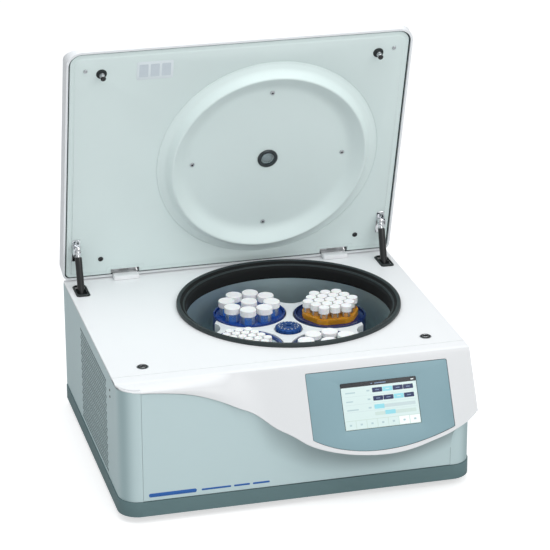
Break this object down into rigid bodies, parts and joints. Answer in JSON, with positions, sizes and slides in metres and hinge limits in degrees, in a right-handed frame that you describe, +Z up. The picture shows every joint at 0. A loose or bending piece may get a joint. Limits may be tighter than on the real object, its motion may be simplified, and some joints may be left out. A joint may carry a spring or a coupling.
{
  "type": "refrigerated benchtop centrifuge",
  "caption": "Refrigerated benchtop laboratory centrifuge with hinged lid on gas struts, swing-bucket rotor loaded with capped tubes and a sloping touch-screen panel.",
  "frame": {"origin": "on the bench, under the centre of the housing footprint, between the four feet", "axes": "+Z up, +Y towards the rear where the lid hinges, +X towards the right as the user faces the touch screen"},
  "size_m": [0.722, 0.6851, 0.8317],
  "materials": {
    "tray_grey": "darker grey powder coat",
    "black_rubber": "matt black rubber",
    "grey_panel": "fine powder coat, pale blue grey",
    "white_shell": "smooth moulded cover, near white",
    "bezel_grey": "satin blue-grey plastic",
    "screen_glass": "lit touch screen behind gloss glass",
    "bowl_steel": "spun stainless steel, dark in the chamber",
    "foam": "closed-cell insulation foam",
    "copper": "copper tube",
    "black_steel": "black enamel",
    "aluminium": "plain aluminium",
    "zinc_steel": "zinc plated sheet",
    "pcb": "green circuit board",
    "black_plastic": "satin black",
    "steel": "brushed stainless steel",
    "glass": "clear port window",
    "chrome": "bright plated steel",
    "rotor_white": "pale coated rotor casting",
    "rotor_blue": "anodised deep blue",
    "bucket_blue": "glossy blue coated aluminium",
    "bucket_navy": "glossy navy coated aluminium",
    "rack_blue": "translucent blue moulded rack",
    "rack_amber": "translucent amber moulded rack",
    "rack_grey": "grey moulded rack",
    "clear_tube": "clear moulded tube",
    "cap_white": "white screw cap"
  },
  "bodies": {
    "root": {"base_tray": "tray_grey", "feet": "black_rubber", "left_side_panel": "grey_panel", "right_side_panel": "grey_panel", "front_cover": "grey_panel", "fascia": "white_shell", "display_bezel": "bezel_grey", "touch_screen": "screen_glass", "top_deck": "white_shell", "chamber_bowl": "bowl_steel", "chamber_gasket": "black_rubber", "chamber_insulation": "foam", "evaporator_coil": "copper", "motor_housing": "black_steel", "motor_dampers": "black_rubber", "compressor": "black_steel", "condenser_coil": "aluminium", "fan_shroud": "zinc_steel", "power_supply": "zinc_steel", "control_board": "pcb", "rear_panel": "grey_panel", "mains_inlet": "black_plastic", "latch_receivers": "black_plastic", "strut_boots": "black_rubber", "strut_brackets": "zinc_steel", "deck_hinge_brackets": "white_shell", "hinge_pins": "steel"},
    "lid": {"lid_outer_shell": "white_shell", "lid_inner_panel": "grey_panel", "viewing_port_ring": "steel", "viewing_port_glass": "glass", "lid_screws": "steel", "lid_strikers": "steel", "striker_collars": "black_rubber", "lid_hinge_leaves": "white_shell", "lid_ball_studs": "chrome"},
    "rotor": {"motor_shaft": "steel", "rotor_cross": "rotor_white"},
    "rotor_nut": {"rotor_nut": "rotor_blue"},
    "bucket_1": {"bucket_1": "bucket_blue", "rack_1": "rack_blue", "tubes_1": "clear_tube", "caps_1": "cap_white"},
    "bucket_2": {"bucket_2": "bucket_navy", "rack_2": "rack_amber", "tubes_2": "clear_tube", "caps_2": "cap_white"},
    "bucket_3": {"bucket_3": "bucket_blue", "rack_3": "rack_grey", "vials_3": "cap_white"},
    "bucket_4": {"bucket_4": "bucket_navy", "rack_4": "rack_grey", "vials_4": "cap_white"},
    "strut_left_cylinder": {"strut_left_cylinder": "black_steel"},
    "strut_left_rod": {"strut_left_rod": "steel"},
    "strut_right_cylinder": {"strut_right_cylinder": "black_steel"},
    "strut_right_rod": {"strut_right_rod": "steel"},
    "latch_bar": {"latch_bar": "zinc_steel"},
    "condenser_fan": {"condenser_fan": "black_plastic"},
    "power_switch": {"power_switch": "black_plastic"}
  },
  "joints": [
    {"name": "lid_hinge", "type": "hinge", "parent": "root", "child": "lid", "pos_m": [0, 0.296, 0.3103], "axis": [-1, 0, 0], "range_deg": [-74.34, 0]},
    {"name": "strut_left_ball", "type": "hinge", "parent": "lid", "child": "strut_left_cylinder", "pos_m": [-0.332, 0.25349, 0.36599], "axis": [-1, 0, 0], "range_deg": [-0.5, 75.81]},
    {"name": "strut_left_rod_slide", "type": "slide", "parent": "strut_left_cylinder", "child": "strut_left_rod", "axis": [0, 0.3049, 0.9524], "range_m": [-0.0005, 0.08517]},
    {"name": "strut_right_ball", "type": "hinge", "parent": "lid", "child": "strut_right_cylinder", "pos_m": [0.332, 0.25349, 0.36599], "axis": [-1, 0, 0], "range_deg": [-0.5, 75.81]},
    {"name": "strut_right_rod_slide", "type": "slide", "parent": "strut_right_cylinder", "child": "strut_right_rod", "axis": [0, 0.3049, 0.9524], "range_m": [-0.0005, 0.08517]},
    {"name": "rotor_spin", "type": "hinge", "parent": "root", "child": "rotor", "pos_m": [0.07, 0.048, 0.2], "axis": [0, 0, 1], "continuous": true},
    {"name": "rotor_nut_turn", "type": "hinge", "parent": "rotor", "child": "rotor_nut", "pos_m": [0.07, 0.048, 0.228], "axis": [0, 0, 1], "continuous": true},
    {"name": "bucket_1_swing", "type": "hinge", "parent": "rotor", "child": "bucket_1", "pos_m": [0.01226, 0.15434, 0.218], "axis": [0.8788, 0.4772, 0], "range_deg": [0, 90]},
    {"name": "bucket_2_swing", "type": "hinge", "parent": "rotor", "child": "bucket_2", "pos_m": [0.17634, 0.10574, 0.218], "axis": [0.4772, -0.8788, 0], "range_deg": [0, 90]},
    {"name": "bucket_3_swing", "type": "hinge", "parent": "rotor", "child": "bucket_3", "pos_m": [-0.03634, -0.00974, 0.218], "axis": [-0.4772, 0.8788, 0], "range_deg": [0, 90]},
    {"name": "bucket_4_swing", "type": "hinge", "parent": "rotor", "child": "bucket_4", "pos_m": [0.12774, -0.05834, 0.218], "axis": [-0.8788, -0.4772, 0], "range_deg": [0, 90]},
    {"name": "latch_slide", "type": "slide", "parent": "root", "child": "latch_bar", "axis": [1, 0, 0], "range_m": [0, 0.008]},
    {"name": "condenser_fan_spin", "type": "hinge", "parent": "root", "child": "condenser_fan", "pos_m": [-0.285, -0.05, 0.15], "axis": [1, 0, 0], "continuous": true},
    {"name": "power_switch_rock", "type": "hinge", "parent": "root", "child": "power_switch", "pos_m": [-0.2515, 0.291, 0.102], "axis": [1, 0, 0], "range_deg": [0, 14]}
  ],
  "couplings": [
    {"joint": "strut_left_ball", "follows": "lid_hinge", "ratio": -1.0117},
    {"joint": "strut_left_rod_slide", "follows": "lid_hinge", "m_per_rad": -0.06518},
    {"joint": "strut_right_ball", "follows": "lid_hinge", "ratio": -1.0117},
    {"joint": "strut_right_rod_slide", "follows": "lid_hinge", "m_per_rad": -0.06518}
  ]
}
